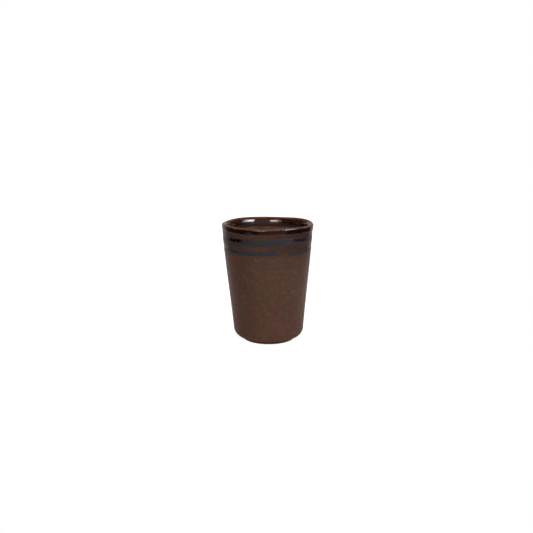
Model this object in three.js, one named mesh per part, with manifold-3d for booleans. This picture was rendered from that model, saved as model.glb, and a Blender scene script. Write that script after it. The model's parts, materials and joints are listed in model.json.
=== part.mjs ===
// Handleless espresso cup: a thrown stoneware body with its glaze coats and two brushed slip bands.
// Millimetres, +Z up, origin at the centre of the foot ring's contact plane.
// The front of the cup faces -Y.
import * as THREE from "three";
import { mergeVertices } from "three/addons/utils/BufferGeometryUtils.js";
import Module from "manifold-3d";

// Thrown clay body
const clayHeight = 74.05;
const rimRadius = 27.95;
const lipThickness = 2.7;
const lipEdgeWidth = 0.75;
const lipEdgeDrop = 0.4;
const lipRollDrop = 4.6;
const wallLeanAtRim = 0.069;
const wallLeanAtBase = 0.073;
const baseRadius = 21.8;
const baseHeight = 7.0;
const wallThickness = 3.4;
const floorThickness = 4.0;
const floorFillet = 6.5;
const floorDish = 0.5;

// Trimmed foot ring, left bare of glaze
const footRadius = 17.1;
const footHeight = 2.0;
const footRingWidth = 3.6;
const footEdge = 0.5;
const footRecess = 1.6;

// Glaze coats: their depths, the depth left at the free edge above the foot, the length over which a coat
// eases from one depth to the next, and the hairline that parts each layer from what it lies on or meets
const bodyGlaze = 0.4;
const lipGlaze = 0.5;
const linerGlaze = 0.4;
const glazeEdge = 0.2;
const coatEase = 0.9;
const layerGap = 0.05;

// Heights of the glaze lines: above the foot, below the top of the clay, and below the lip's roll on the inside
const glazeLineAboveFoot = 0.5;
const lipGlazeDrop = 2.6;
const linerBelowRoll = 0.9;

// Brushed slip bands: the bare neck left under the lip glaze, the wall left between the two bands, and how much
// lower the hand laid them at the sides than at the front and the back
const bandThickness = 0.22;
const bandEdge = 0.06;
const neckHeight = 2.5;
const upperBandWidth = 4.4;
const bandSpacing = 2.85;
const lowerBandWidth = 2.9;
const bandSag = 1.6;

// Where the lower band's brush stroke starts and ends without closing
const strokeGap = 4.4;
const strokeGapAzimuth = THREE.MathUtils.degToRad(21);
const strokeGapSlant = THREE.MathUtils.degToRad(-32);

// Facets
const roundSegments = 52;
const wallSteps = 6;
const curveSteps = 5;
const lipEdgeSteps = 4;
const lipRollSteps = 5;
const lipSkirtSteps = 2;
const floorSteps = 2;
const bandSteps = 4;
const weldDistance = 1e-3;

const wasm = await Module();
wasm.setup();

// Half-section of the clay, as curves in (radius, height) that run from the foot, up the outside, over the lip
// and down the inside. The clay lies on the left of the direction of travel.
const innerBaseRadius = baseRadius - wallThickness;
const floorHeight = footRecess + floorThickness;
const crestRadius = rimRadius - lipEdgeWidth;
const lipRollWidth = lipThickness - lipEdgeWidth;

const turnedUnder = new THREE.EllipseCurve(
  footRadius, baseHeight, baseRadius - footRadius, baseHeight - footHeight, -Math.PI / 2, 0, false,
);
// The lip has a tight edge on the outside, and rolls gently down to the inside wall from its crest.
const lipEdge = new THREE.EllipseCurve(
  crestRadius, clayHeight - lipEdgeDrop, lipEdgeWidth, lipEdgeDrop,
  -leanOnEllipse(lipEdgeWidth, lipEdgeDrop), Math.PI / 2, false,
);
const lipRoll = new THREE.EllipseCurve(
  crestRadius, clayHeight - lipRollDrop, lipRollWidth, lipRollDrop,
  Math.PI / 2, Math.PI - leanOnEllipse(lipRollWidth, lipRollDrop), false,
);
const outerWall = leaningWall(
  new THREE.Vector2(baseRadius, baseHeight), wallLeanAtBase, lipEdge.getPoint(0), wallLeanAtRim,
);
const filletTop = new THREE.Vector2(innerBaseRadius, floorHeight + floorFillet);
const innerWall = reversed(leaningWall(filletTop, wallLeanAtBase, lipRoll.getPoint(1), wallLeanAtRim));
const fillet = new THREE.EllipseCurve(
  innerBaseRadius - floorFillet, filletTop.y, floorFillet, floorFillet, 0, -Math.PI / 2, true,
);
const floor = new THREE.QuadraticBezierCurve(
  new THREE.Vector2(innerBaseRadius - floorFillet, floorHeight),
  new THREE.Vector2((innerBaseRadius - floorFillet) / 2, floorHeight - floorDish),
  new THREE.Vector2(0, floorHeight - floorDish),
);

// The angle on an ellipse at which it leans as the wall does at the rim.
function leanOnEllipse(width, height) {
  return Math.atan((wallLeanAtRim * height) / width);
}

// A wall between two points of the half-section, leaning outwards by the given radius per height at each end.
function leaningWall(bottom, bottomLean, top, topLean) {
  const handle = (top.y - bottom.y) / 3;
  return new THREE.CubicBezierCurve(
    bottom,
    new THREE.Vector2(bottom.x + bottomLean * handle, bottom.y + handle),
    new THREE.Vector2(top.x - topLean * handle, top.y - handle),
    top,
  );
}

function reversed(curve) {
  return new THREE.CubicBezierCurve(curve.v3, curve.v2, curve.v1, curve.v0);
}

// The curve parameter at a height, on a curve that only climbs or only falls.
function atHeight(curve, height) {
  const climbs = curve.getPoint(1).y > curve.getPoint(0).y;
  let low = 0;
  let high = 1;
  for (let halving = 0; halving < 40; halving++) {
    const middle = (low + high) / 2;
    if (curve.getPoint(middle).y < height === climbs) low = middle;
    else high = middle;
  }
  return (low + high) / 2;
}

// Points of a stretch of curve, each with the normal that points out of the clay.
function stretch(curve, from, to, steps) {
  const samples = [];
  for (let i = 0; i <= steps; i++) {
    const t = from + ((to - from) * i) / steps;
    const tangent = curve.getTangent(t);
    samples.push({ point: curve.getPoint(t), normal: new THREE.Vector2(tangent.y, -tangent.x) });
  }
  return samples;
}

// Stretches end to end, with one sample where two of them meet.
function chain(...stretches) {
  return stretches.flatMap((samples, i) => (i === 0 ? samples : samples.slice(1)));
}

function offset(sample, distance) {
  return sample.point.clone().addScaledVector(sample.normal, distance);
}

// A closed half-section of a layer that lies on the samples, `lift` off the clay.
// `depthAt` gives its depth at a distance along the layer and at that layer's length.
function layerSection(samples, lift, depthAt) {
  const along = [0];
  for (let i = 1; i < samples.length; i++) {
    along.push(along[i - 1] + samples[i].point.distanceTo(samples[i - 1].point));
  }
  const length = along[along.length - 1];
  const outer = samples.map((sample, i) => offset(sample, lift + depthAt(along[i], length)));
  const inner = samples.map((sample) => offset(sample, lift));
  return [...outer, ...inner.reverse(), outer[0]];
}

// Depth of a fired coat that eases from its depth at the start to its full depth, and to its depth at the end.
function coatDepth(atStart, full, atEnd) {
  return (along, length) => {
    const fromStart = THREE.MathUtils.smoothstep(along, 0, coatEase);
    const fromEnd = THREE.MathUtils.smoothstep(length - along, 0, coatEase);
    return full + (atStart - full) * (1 - fromStart) + (atEnd - full) * (1 - fromEnd);
  };
}

// Depth of a brushed band: a low crown between two thin edges.
function bandDepth(along, length) {
  const across = (2 * along) / length - 1;
  return bandEdge + (bandThickness - bandEdge) * Math.sqrt(Math.max(1 - across * across, 0));
}

// The half-section turned about the cup's axis, with +Z up.
function turned(section) {
  return new THREE.LatheGeometry(section, roundSegments).rotateX(Math.PI / 2);
}

// A closed geometry as a solid that can be cut, and back again.
function toSolid(geometry) {
  const bare = geometry.clone();
  bare.deleteAttribute("normal");
  bare.deleteAttribute("uv");
  const merged = mergeVertices(bare, weldDistance);
  return new wasm.Manifold(
    new wasm.Mesh({
      numProp: 3,
      vertProperties: merged.getAttribute("position").array,
      triVerts: new Uint32Array(merged.index.array),
    }),
  );
}

function toGeometry(solid) {
  const mesh = solid.getMesh();
  const geometry = new THREE.BufferGeometry();
  geometry.setAttribute("position", new THREE.BufferAttribute(mesh.vertProperties, 3));
  geometry.setIndex(new THREE.BufferAttribute(mesh.triVerts, 1));
  geometry.computeVertexNormals();
  return geometry;
}

// Stoneware body: foot ring with its recess, turned-under base, wall, rolled lip and dished floor in one piece.
function clayBody() {
  const contactInner = footRadius - footRingWidth;
  const foot = [
    new THREE.Vector2(0, footRecess),
    new THREE.Vector2(contactInner - footRecess, footRecess),
    new THREE.Vector2(contactInner, 0),
    new THREE.Vector2(footRadius - footEdge, 0),
    new THREE.Vector2(footRadius, footEdge),
  ];
  const above = chain(
    stretch(turnedUnder, 0, 1, curveSteps),
    stretch(outerWall, 0, 1, wallSteps),
    stretch(lipEdge, 0, 1, lipEdgeSteps),
    stretch(lipRoll, 0, 1, lipRollSteps),
    stretch(innerWall, 0, 1, wallSteps),
    stretch(fillet, 0, 1, curveSteps),
    stretch(floor, 0, 1, floorSteps),
  );
  return turned([...foot, ...above.map((sample) => sample.point)]);
}

// Satin glaze on the outside, from the glaze line above the foot to the lip glaze.
const outerGlazeTop = atHeight(outerWall, clayHeight - lipGlazeDrop - layerGap);

function outerGlaze() {
  const glazeLine = atHeight(turnedUnder, footHeight + glazeLineAboveFoot);
  const samples = chain(
    stretch(turnedUnder, glazeLine, 1, curveSteps),
    stretch(outerWall, 0, outerGlazeTop, wallSteps),
  );
  return turned(layerSection(samples, layerGap, coatDepth(glazeEdge, bodyGlaze, bodyGlaze)));
}

// Gloss glaze over the lip, from the outer glaze to the liner.
const linerLine = lipRoll.getPoint(1).y - linerBelowRoll;

function lipCoat() {
  const samples = chain(
    stretch(outerWall, atHeight(outerWall, clayHeight - lipGlazeDrop), 1, lipSkirtSteps),
    stretch(lipEdge, 0, 1, lipEdgeSteps),
    stretch(lipRoll, 0, 1, lipRollSteps),
    stretch(innerWall, 0, atHeight(innerWall, linerLine), lipSkirtSteps),
  );
  return turned(layerSection(samples, layerGap, coatDepth(bodyGlaze, lipGlaze, linerGlaze)));
}

// Gloss glaze that lines the inside wall and the floor.
function liner() {
  const samples = chain(
    stretch(innerWall, atHeight(innerWall, linerLine - layerGap), 1, wallSteps),
    stretch(fillet, 0, 1, curveSteps),
    stretch(floor, 0, 1, floorSteps),
  );
  return turned(layerSection(samples, layerGap, coatDepth(linerGlaze, linerGlaze, linerGlaze)));
}

// A slip band brushed on the outer glaze, given its drop from the top of the clay lip and its width.
const upperBandDrop = lipGlazeDrop + neckHeight;
const lowerBandDrop = upperBandDrop + upperBandWidth + bandSpacing;

function slipBand(drop, width) {
  const samples = stretch(
    outerWall,
    atHeight(outerWall, clayHeight - drop - width),
    atHeight(outerWall, clayHeight - drop),
    bandSteps,
  );
  return sagged(turned(layerSection(samples, layerGap + bodyGlaze + layerGap, bandDepth)));
}

// A band lowered by its sag at the cup's two sides, and moved in with the wall so that it stays on it.
function sagged(band) {
  const wallRadius = (height) => outerWall.getPoint(atHeight(outerWall, height)).x;
  const position = band.getAttribute("position");
  const place = new THREE.Vector3();
  for (let i = 0; i < position.count; i++) {
    place.fromBufferAttribute(position, i);
    const radius = Math.hypot(place.x, place.y);
    const lowered = place.z - bandSag * (place.x / radius) ** 2;
    const inwards = (wallRadius(place.z) - wallRadius(lowered)) / radius;
    position.setXYZ(i, place.x * (1 - inwards), place.y * (1 - inwards), lowered);
  }
  band.computeVertexNormals();
  return band;
}

// The lower band is one open stroke: a slanted slot, taller than the band, parts its two ends.
function openSlipBand(drop, width) {
  const reach = rimRadius + bodyGlaze + bandThickness;
  const slotHeight = 4 * width;
  const slot = new THREE.BoxGeometry(strokeGap, 2 * reach, slotHeight);
  slot.rotateY(strokeGapSlant);
  slot.translate(0, -reach, clayHeight - drop - width / 2);
  slot.rotateZ(strokeGapAzimuth);
  return toGeometry(toSolid(slipBand(drop, width)).subtract(toSolid(slot)));
}

function finish(color, roughness) {
  return new THREE.MeshStandardMaterial({ color, roughness, metalness: 0 });
}

const stoneware = finish(0x6b4234, 0.85);
const satinBrown = finish(0x553d33, 0.45);
const darkGloss = finish(0x2b1a12, 0.12);
const linerGloss = finish(0x35231c, 0.12);
const slateSlip = finish(0x35343a, 0.3);

function piece(name, geometry, material) {
  const mesh = new THREE.Mesh(geometry, material);
  mesh.name = name;
  return mesh;
}

const cup = new THREE.Group();
cup.add(
  piece("clay_body", clayBody(), stoneware),
  piece("outer_glaze", outerGlaze(), satinBrown),
  piece("lip_glaze", lipCoat(), darkGloss),
  piece("liner_glaze", liner(), linerGloss),
  piece("upper_slip_band", slipBand(upperBandDrop, upperBandWidth), slateSlip),
  piece("lower_slip_band", openSlipBand(lowerBandDrop, lowerBandWidth), slateSlip),
);

export default cup;
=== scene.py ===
# %% [markdown]
# # A handleless espresso cup
# The cup is thrown from stoneware, glazed in three coats and banded with two strokes of slate slip. The
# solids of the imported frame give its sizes. Here each one gets a smooth, hand-thrown mesh and its finish.

# %% Load the frame
import json
import math

import bpy
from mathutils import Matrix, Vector, noise

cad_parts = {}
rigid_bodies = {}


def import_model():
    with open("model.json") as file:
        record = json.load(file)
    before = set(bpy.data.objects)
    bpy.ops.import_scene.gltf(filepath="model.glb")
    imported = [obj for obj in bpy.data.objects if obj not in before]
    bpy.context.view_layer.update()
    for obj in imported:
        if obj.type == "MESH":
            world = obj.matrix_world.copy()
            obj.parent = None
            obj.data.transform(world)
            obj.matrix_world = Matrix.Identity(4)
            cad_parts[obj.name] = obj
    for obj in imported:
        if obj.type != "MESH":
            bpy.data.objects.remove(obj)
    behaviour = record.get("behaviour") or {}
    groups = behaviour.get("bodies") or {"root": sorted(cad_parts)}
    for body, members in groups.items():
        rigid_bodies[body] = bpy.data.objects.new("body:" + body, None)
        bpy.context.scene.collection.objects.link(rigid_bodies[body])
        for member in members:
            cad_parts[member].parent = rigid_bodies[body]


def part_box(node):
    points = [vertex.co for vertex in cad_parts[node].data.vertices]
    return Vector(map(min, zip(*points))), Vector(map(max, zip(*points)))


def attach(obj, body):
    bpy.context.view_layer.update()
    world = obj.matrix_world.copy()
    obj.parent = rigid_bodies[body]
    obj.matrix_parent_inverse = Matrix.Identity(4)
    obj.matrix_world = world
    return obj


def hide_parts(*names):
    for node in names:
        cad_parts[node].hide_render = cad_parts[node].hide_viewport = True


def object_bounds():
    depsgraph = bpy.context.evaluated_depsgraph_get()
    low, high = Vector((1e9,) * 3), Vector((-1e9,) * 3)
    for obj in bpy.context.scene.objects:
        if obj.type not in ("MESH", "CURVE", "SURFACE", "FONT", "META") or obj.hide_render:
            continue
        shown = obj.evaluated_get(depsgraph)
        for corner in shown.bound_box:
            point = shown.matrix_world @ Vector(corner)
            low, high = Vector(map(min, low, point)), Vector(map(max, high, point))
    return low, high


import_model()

MM = 0.001
cad_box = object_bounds()
cup_height = cad_box[1].z


def in_mm(box):
    """A box's two corners in millimetres, rounded for printing."""
    return [[round(c / MM, 2) for c in corner] for corner in box]


print("CAD box in mm:", in_mm(cad_box))

# %% [markdown]
# ## The camera
# The photograph looks down on the cup a little, from close by. A camera and a turned profile were fitted to
# the cup's outline, and these values are the result. The cup stands slightly below the middle of the frame,
# which the lens shift gives without tilting the view.

# %% Place the camera
IMAGE_SIDE = 533
FOCAL_LENGTH_PX = 623.43
OPTICAL_CENTRE_PX = (268.72, 280.48)
CAMERA_DISTANCE = 400 * MM
CAMERA_ELEVATION = math.radians(13.70)
AIM_HEIGHT = 37.31 * MM
NEAREST_SEEN = 10 * MM

camera_data = bpy.data.cameras.new("photo_camera")
camera = bpy.data.objects.new("photo_camera", camera_data)
bpy.context.scene.collection.objects.link(camera)
bpy.context.scene.camera = camera
camera_data.lens = camera_data.sensor_width * FOCAL_LENGTH_PX / IMAGE_SIDE
camera_data.shift_x = (IMAGE_SIDE / 2 - OPTICAL_CENTRE_PX[0]) / IMAGE_SIDE
camera_data.shift_y = (OPTICAL_CENTRE_PX[1] - IMAGE_SIDE / 2) / IMAGE_SIDE
camera_data.clip_start = NEAREST_SEEN

aim = Vector((0, 0, AIM_HEIGHT))
towards_camera = Vector((0, -math.cos(CAMERA_ELEVATION), math.sin(CAMERA_ELEVATION)))
camera.location = aim + CAMERA_DISTANCE * towards_camera
camera.rotation_mode = "QUATERNION"
camera.rotation_quaternion = (-towards_camera).to_track_quat("-Z", "Y")
print("Camera lens in mm:", round(camera_data.lens, 2))

# %% [markdown]
# ## The lip's section
# A potter thinks of a cup as one line, turned about the axis of the wheel. Here that line is drawn in
# stretches, which are lists of (radius, height). The lip comes first: a tight edge on the outside and a
# gentle roll down to the inside. A curve drawn by eye would do for one cup, but arcs with named sizes can be
# changed. The rim and the height come from the frame.

# %% Draw the lip's section
LIP_THICKNESS = 2.7 * MM
LIP_EDGE_WIDTH = 0.75 * MM
LIP_EDGE_DROP = 0.4 * MM
LIP_ROLL_DROP = 4.6 * MM
LEAN_AT_RIM = 0.069
EDGE_STEPS = 8
ROLL_STEPS = 10
clay_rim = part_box("clay_body")[1].x
clay_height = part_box("clay_body")[1].z


def arc(centre, radii, start, end, steps):
    """Points of an ellipse's arc between two angles in degrees."""
    turns = [math.radians(start + (end - start) * i / steps) for i in range(steps + 1)]
    return [(centre[0] + radii[0] * math.cos(a), centre[1] + radii[1] * math.sin(a)) for a in turns]


def lean_on_ellipse(width, drop):
    """The angle on an ellipse, in degrees, at which it leans as the wall does at the rim."""
    return math.degrees(math.atan(LEAN_AT_RIM * drop / width))


crest = clay_rim - LIP_EDGE_WIDTH
lip_roll_width = LIP_THICKNESS - LIP_EDGE_WIDTH
lip_edge = arc(
    (crest, clay_height - LIP_EDGE_DROP),
    (LIP_EDGE_WIDTH, LIP_EDGE_DROP),
    -lean_on_ellipse(LIP_EDGE_WIDTH, LIP_EDGE_DROP),
    90,
    EDGE_STEPS,
)
lip_roll = arc(
    (crest, clay_height - LIP_ROLL_DROP),
    (lip_roll_width, LIP_ROLL_DROP),
    90,
    180 - lean_on_ellipse(lip_roll_width, LIP_ROLL_DROP),
    ROLL_STEPS,
)
lip_edge_low = lip_edge[0][1]
lip_roll_low = lip_roll[-1][1]
print("Lip: rim", round(clay_rim / MM, 2), "mm and crest", round(crest / MM, 2), "mm from the axis")

# %% [markdown]
# ## The walls, the base and the floor
# The outside and the inside lean out from the base to the lip, each as one cubic curve that meets the lip at
# the lip's own lean. Straight walls would be simpler, but they would leave a kink, and a kink shows at once
# on a glaze. Below, the base turns under to the foot. Inside, a fillet leads to a slightly dished floor.

# %% Draw the walls, the base and the floor
LEAN_AT_BASE = 0.073
BASE_RADIUS = 21.8 * MM
BASE_HEIGHT = 7.0 * MM
WALL_THICKNESS = 3.4 * MM
FLOOR_HEIGHT = 5.6 * MM
FLOOR_FILLET = 6.5 * MM
FLOOR_DISH = 0.5 * MM
FOOT_RADIUS = 17.1 * MM
FOOT_HEIGHT = 2.0 * MM
UNDER_STEPS = 10
FILLET_STEPS = 6
FLOOR_STEPS = 4
inner_base = BASE_RADIUS - WALL_THICKNESS
floor_edge = inner_base - FLOOR_FILLET
fillet_top = (inner_base, FLOOR_HEIGHT + FLOOR_FILLET)


def leaning_wall(low, lean_low, high, lean_high, height):
    """Radius at a height of a wall that leans by the given radius per height at its two ends."""
    span = high[1] - low[1]
    t = (height - low[1]) / span
    from_low = low[0] * (1 + 2 * t) * (1 - t) ** 2 + lean_low * span * t * (1 - t) ** 2
    from_high = high[0] * t**2 * (3 - 2 * t) - lean_high * span * t**2 * (1 - t)
    return from_low + from_high


def outer_wall(height):
    """Radius of the clay's outside at a height."""
    return leaning_wall((BASE_RADIUS, BASE_HEIGHT), LEAN_AT_BASE, lip_edge[0], LEAN_AT_RIM, height)


def inner_wall(height):
    """Radius of the clay's inside at a height."""
    return leaning_wall(fillet_top, LEAN_AT_BASE, lip_roll[-1], LEAN_AT_RIM, height)


def wall_stretch(wall, start, end, steps):
    """Points of a wall from one height to another."""
    heights = [start + (end - start) * i / steps for i in range(steps + 1)]
    return [(wall(height), height) for height in heights]


def chained(*stretches):
    """Stretches end to end, with one point where two of them meet."""
    return sum((stretch[1:] for stretch in stretches[1:]), stretches[0])


turned_under = arc(
    (FOOT_RADIUS, BASE_HEIGHT),
    (BASE_RADIUS - FOOT_RADIUS, BASE_HEIGHT - FOOT_HEIGHT),
    -90,
    0,
    UNDER_STEPS,
)
fillet = arc((floor_edge, fillet_top[1]), (FLOOR_FILLET, FLOOR_FILLET), 0, -90, FILLET_STEPS)
floor = [
    (floor_edge * (1 - i / FLOOR_STEPS), FLOOR_HEIGHT - FLOOR_DISH * math.sin(math.pi / 2 * i / FLOOR_STEPS))
    for i in range(FLOOR_STEPS + 1)
]
print("Floor: edge", round(floor_edge / MM, 2), "mm, fillet up to", round(fillet_top[1] / MM, 2), "mm")

# %% [markdown]
# ## Turning a line into a piece
# A lathe in Blender is the Spin operator. The Screw modifier turns a line too, but Spin leaves a plain mesh
# at once. One corner is made from a plane whose corners are merged, and it is then extruded along the line,
# point by point. Spin carries the line round the axis, doubles are merged where it meets itself, and the
# normals are made consistent before any coat gets its thickness.

# %% Helpers that turn a line
SPIN_STEPS = 72
WELD = 0.001 * MM


def drawn_line(name, outline):
    """A new object whose mesh is the outline in the XZ plane, left in edit mode with all selected."""
    bpy.ops.object.select_all(action="DESELECT")
    bpy.ops.mesh.primitive_plane_add(size=MM, location=(outline[0][0], 0, outline[0][1]))
    bpy.context.object.name = name
    bpy.ops.object.transform_apply(location=True, rotation=True, scale=True)
    bpy.ops.object.mode_set(mode="EDIT")
    bpy.ops.mesh.select_all(action="SELECT")
    bpy.ops.mesh.merge(type="CENTER")
    for (radius, height), (next_radius, next_height) in zip(outline, outline[1:]):
        step = (next_radius - radius, 0, next_height - height)
        bpy.ops.mesh.extrude_region_move(TRANSFORM_OT_translate={"value": step})
    bpy.ops.mesh.select_all(action="SELECT")
    bpy.ops.mesh.remove_doubles(threshold=WELD)
    return bpy.context.object


def turned(name, outline, angle=2 * math.pi):
    """The outline spun about the cup's axis and closed where it meets itself, with consistent normals."""
    piece = drawn_line(name, outline)
    bpy.ops.mesh.spin(steps=SPIN_STEPS, angle=angle, center=(0, 0, 0), axis=(0, 0, 1))
    bpy.ops.mesh.select_all(action="SELECT")
    bpy.ops.mesh.remove_doubles(threshold=WELD)
    bpy.ops.mesh.normals_make_consistent(inside=False)
    bpy.ops.object.mode_set(mode="OBJECT")
    return piece


def with_modifier(piece, kind, **settings):
    """Adds a modifier to the piece, sets it and applies it."""
    bpy.context.view_layer.objects.active = piece
    bpy.ops.object.modifier_add(type=kind)
    modifier = piece.modifiers[-1]
    for name, value in settings.items():
        setattr(modifier, name, value)
    bpy.ops.object.modifier_apply(modifier=modifier.name)


def smoothed(piece, levels):
    """Subdivides the piece and shades it smooth."""
    with_modifier(piece, "SUBSURF", levels=levels, render_levels=levels)
    bpy.ops.object.select_all(action="DESELECT")
    piece.select_set(True)
    bpy.ops.object.shade_smooth()


print("One turn of the wheel is", SPIN_STEPS, "steps")

# %% [markdown]
# ## What the hands leave
# No thrown cup is truly round or upright. This one leans to the left, swells between foot and rim and
# spreads at its base, and its rim is a little square and rises and falls by fractions of a millimetre. A
# large grab brush could do that to one mesh. A formula that moves each vertex does it to every layer alike,
# so the coats stay on the clay.

# %% Helpers for the hand-thrown shape
LEAN = 0.84 * MM
SWELL = 0.4 * MM
SWELL_TO_LEFT = 0.075 * MM
BASE_SPREAD = 0.35 * MM
RIM_TILT = -0.05 * MM
RIM_LIFT = 0.12 * MM
# Waves round the cup, each as (waves in a turn, height, turn in radians)
WALL_WAVES = [(2, 0.08 * MM, math.radians(-90)), (3, 0.048 * MM, 2.0)]
RIM_WAVES = [(3, 0.07 * MM, 1.1), (4, 0.2 * MM, math.radians(-50)), (5, 0.042 * MM, 0.4)]
# Single bumps of the rim, each as (azimuth and reach in degrees, height)
RIM_BUMPS = [(122, 40, 0.28 * MM), (-108, 36, -0.18 * MM), (180, 35, 0.18 * MM)]


def eased(value, start, end):
    """0 before the start, 1 after the end and a smooth climb between them."""
    share = min(1.0, max(0.0, (value - start) / (end - start)))
    return share * share * (3 - 2 * share)


def azimuth(point):
    """Angle round the cup, 0 at the front and growing to the right."""
    return math.atan2(point.x, -point.y)


def at(angle, radius, height):
    """The point at an angle round the cup."""
    return Vector((radius * math.sin(angle), -radius * math.cos(angle), height))


def wavy(angle, waves):
    """The sum of some waves round the cup, at an angle."""
    return sum(height * math.sin(count * angle + turn) for count, height, turn in waves)


def thrown(angle, radius, height):
    """Where a point of a true cup lies on the thrown one: the slow wander that every layer shares."""
    rise = height / cup_height
    swell = 4 * rise * (1 - rise) * (SWELL - SWELL_TO_LEFT * math.sin(angle))
    wider = rise * wavy(angle, WALL_WAVES) + swell + (1 - rise) ** 3 * BASE_SPREAD
    tilt = RIM_TILT * rise**2 * math.sin(angle)
    wander = RIM_LIFT + wavy(angle, RIM_WAVES)
    for middle, reach, lift in RIM_BUMPS:
        away = abs(math.remainder(math.degrees(angle) - middle, 360))
        wander += lift * (1 - eased(away, 0, reach))
    place = at(angle, radius + wider * radius / clay_rim, height + tilt + wander * rise**3)
    return place - Vector((LEAN * rise, 0, 0))


def moved_by_hand(piece, move):
    """Moves each vertex of the piece to where move(angle, radius, height) says."""
    for vertex in piece.data.vertices:
        radius = math.hypot(vertex.co.x, vertex.co.y)
        vertex.co = move(azimuth(vertex.co), radius, vertex.co.z)
    piece.data.update()


rim_rises = [thrown(math.radians(turn), crest, clay_height).z - clay_height for turn in (0, 90, 180, -90)]
print("Rise of the rim in mm, front, right, back and left:", [round(rise / MM, 2) for rise in rim_rises])

# %% [markdown]
# ## The stoneware body
# The clay is one lump: foot ring, base, wall, lip and floor. Only the foot shows, bare and turned with a
# tool, but the whole body is modelled, because the glaze lies on it. A cylinder could be extruded into this
# shape, but one line that starts and ends on the axis gives the wall its true thickness everywhere. A small
# bevel takes the sharpness off the foot before the surface is subdivided.

# %% Turn the clay body
FOOT_RING_WIDTH = 3.6 * MM
FOOT_EDGE = 0.5 * MM
FOOT_RECESS = 1.6 * MM
RECESS_STEPS = 5
CLAY_WALL_STEPS = 8
SHARP_EDGE = math.radians(25)
EDGE_SOFTENING = 0.12 * MM
contact_inner = FOOT_RADIUS - FOOT_RING_WIDTH
recess_edge = contact_inner - FOOT_RECESS
foot = [
    *[(recess_edge * i / RECESS_STEPS, FOOT_RECESS) for i in range(RECESS_STEPS)],
    (recess_edge, FOOT_RECESS),
    (contact_inner - FOOT_RECESS / 2, FOOT_RECESS / 2),
    (contact_inner, 0),
    (contact_inner + FOOT_EDGE, 0),
    (FOOT_RADIUS - FOOT_EDGE, 0),
    (FOOT_RADIUS, FOOT_EDGE),
]
clay_line = chained(
    foot + turned_under,
    wall_stretch(outer_wall, BASE_HEIGHT, lip_edge_low, CLAY_WALL_STEPS),
    lip_edge,
    lip_roll,
    wall_stretch(inner_wall, lip_roll_low, fillet_top[1], CLAY_WALL_STEPS),
    fillet,
    floor,
)
clay_body = turned("clay_body_thrown", clay_line)
with_modifier(
    clay_body,
    "BEVEL",
    width=EDGE_SOFTENING,
    segments=2,
    limit_method="ANGLE",
    angle_limit=SHARP_EDGE,
)
smoothed(clay_body, levels=1)
moved_by_hand(clay_body, thrown)
print("Clay body:", len(clay_body.data.polygons), "faces")

# %% [markdown]
# ## Throwing lines
# Fingers that rise while the wheel turns leave a spiral, which shows faintly through the glaze, more in some
# patches than in others. A bump texture could draw it, but as a shape it also moves the soft highlights along
# the cup's edges. Noise with waves of a given size makes it uneven.

# %% Helpers for the throwing lines
THROWING_LINE = 3.4 * MM
THROWING_DEPTH = 0.018 * MM
THROWING_UNEVENNESS = 0.024 * MM
THROWING_PATCH = 18 * MM


def uneven(angle, height, size, seed):
    """Smooth unevenness from -1 to 1 round the cup, with waves of about the given size."""
    return noise.noise(at(angle, clay_rim, height) / size + Vector((seed, 0, 0)))


def throwing_lines(angle, height):
    """Radius that the fingers' spiral adds to the outside at a height."""
    depth = THROWING_DEPTH + THROWING_UNEVENNESS * uneven(angle, height, THROWING_PATCH, seed=3)
    return depth * math.sin(2 * math.pi * height / THROWING_LINE + angle)


print("Throwing lines up the wall:", round(cup_height / THROWING_LINE))

# %% [markdown]
# ## The satin outer glaze
# The outside was dipped in an iron glaze that fired to a satin brown. It ends in a soft roll just above the
# foot, which was wiped clean so that the cup wouldn't stick to the kiln shelf. A second material on the clay
# would give the colour alone. As a skin that Solidify thickens inwards, the coat also has that edge.

# %% Coat the outside
BODY_GLAZE = 0.45 * MM
COAT = 0.38 * MM
GLAZE_LINE_WAVER = 0.35 * MM
GLAZE_LINE_WAVE = 7 * MM
GLAZE_TUCK = 0.5 * MM
OUTSIDE_STEPS = 20
glaze_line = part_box("outer_glaze")[0].z
lip_glaze_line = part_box("outer_glaze")[1].z


def lifted(outline, distance):
    """The outline moved off the clay by a distance, each point along its own normal."""
    moved = []
    for i, (radius, height) in enumerate(outline):
        before = outline[max(i - 1, 0)]
        after = outline[min(i + 1, len(outline) - 1)]
        along = Vector((after[0] - before[0], after[1] - before[1])).normalized()
        moved.append((radius + along.y * distance, height - along.x * distance))
    return moved


def glazed_wall(height):
    """Radius of the finished outside at a height, before the hands' unevenness."""
    return outer_wall(height) + BODY_GLAZE


def on_outside(angle, radius, height):
    """Where a vertex of the outside goes: throwing lines, a wavering lower edge and the shared wander."""
    low = max(0.0, 1 - height / BASE_HEIGHT)
    dip = low * GLAZE_LINE_WAVER * uneven(angle, 0, GLAZE_LINE_WAVE, seed=9)
    return thrown(angle, radius + throwing_lines(angle, height) * (1 - low), height + dip)


glazed_under = [point for point in turned_under if point[1] > glaze_line]
glazed_stretch = wall_stretch(outer_wall, BASE_HEIGHT, lip_glaze_line + GLAZE_TUCK, OUTSIDE_STEPS)
outer_glaze = turned("outer_glaze_satin", lifted(chained(glazed_under, glazed_stretch), BODY_GLAZE))
with_modifier(outer_glaze, "SOLIDIFY", thickness=COAT, offset=-1)
smoothed(outer_glaze, levels=2)
moved_by_hand(outer_glaze, on_outside)
print("Outer glaze:", len(outer_glaze.data.polygons), "faces")

# %% [markdown]
# ## The gloss lip
# The lip was dipped once more in a dark gloss glaze, one half of the rim and then the other. The skin
# follows the clay from the wall over the crest and down the inner roll, and Solidify thickens it towards the
# clay, as it does the outside. It is a piece of its own, because a gloss glaze runs and bulges as a satin one
# doesn't.

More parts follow.
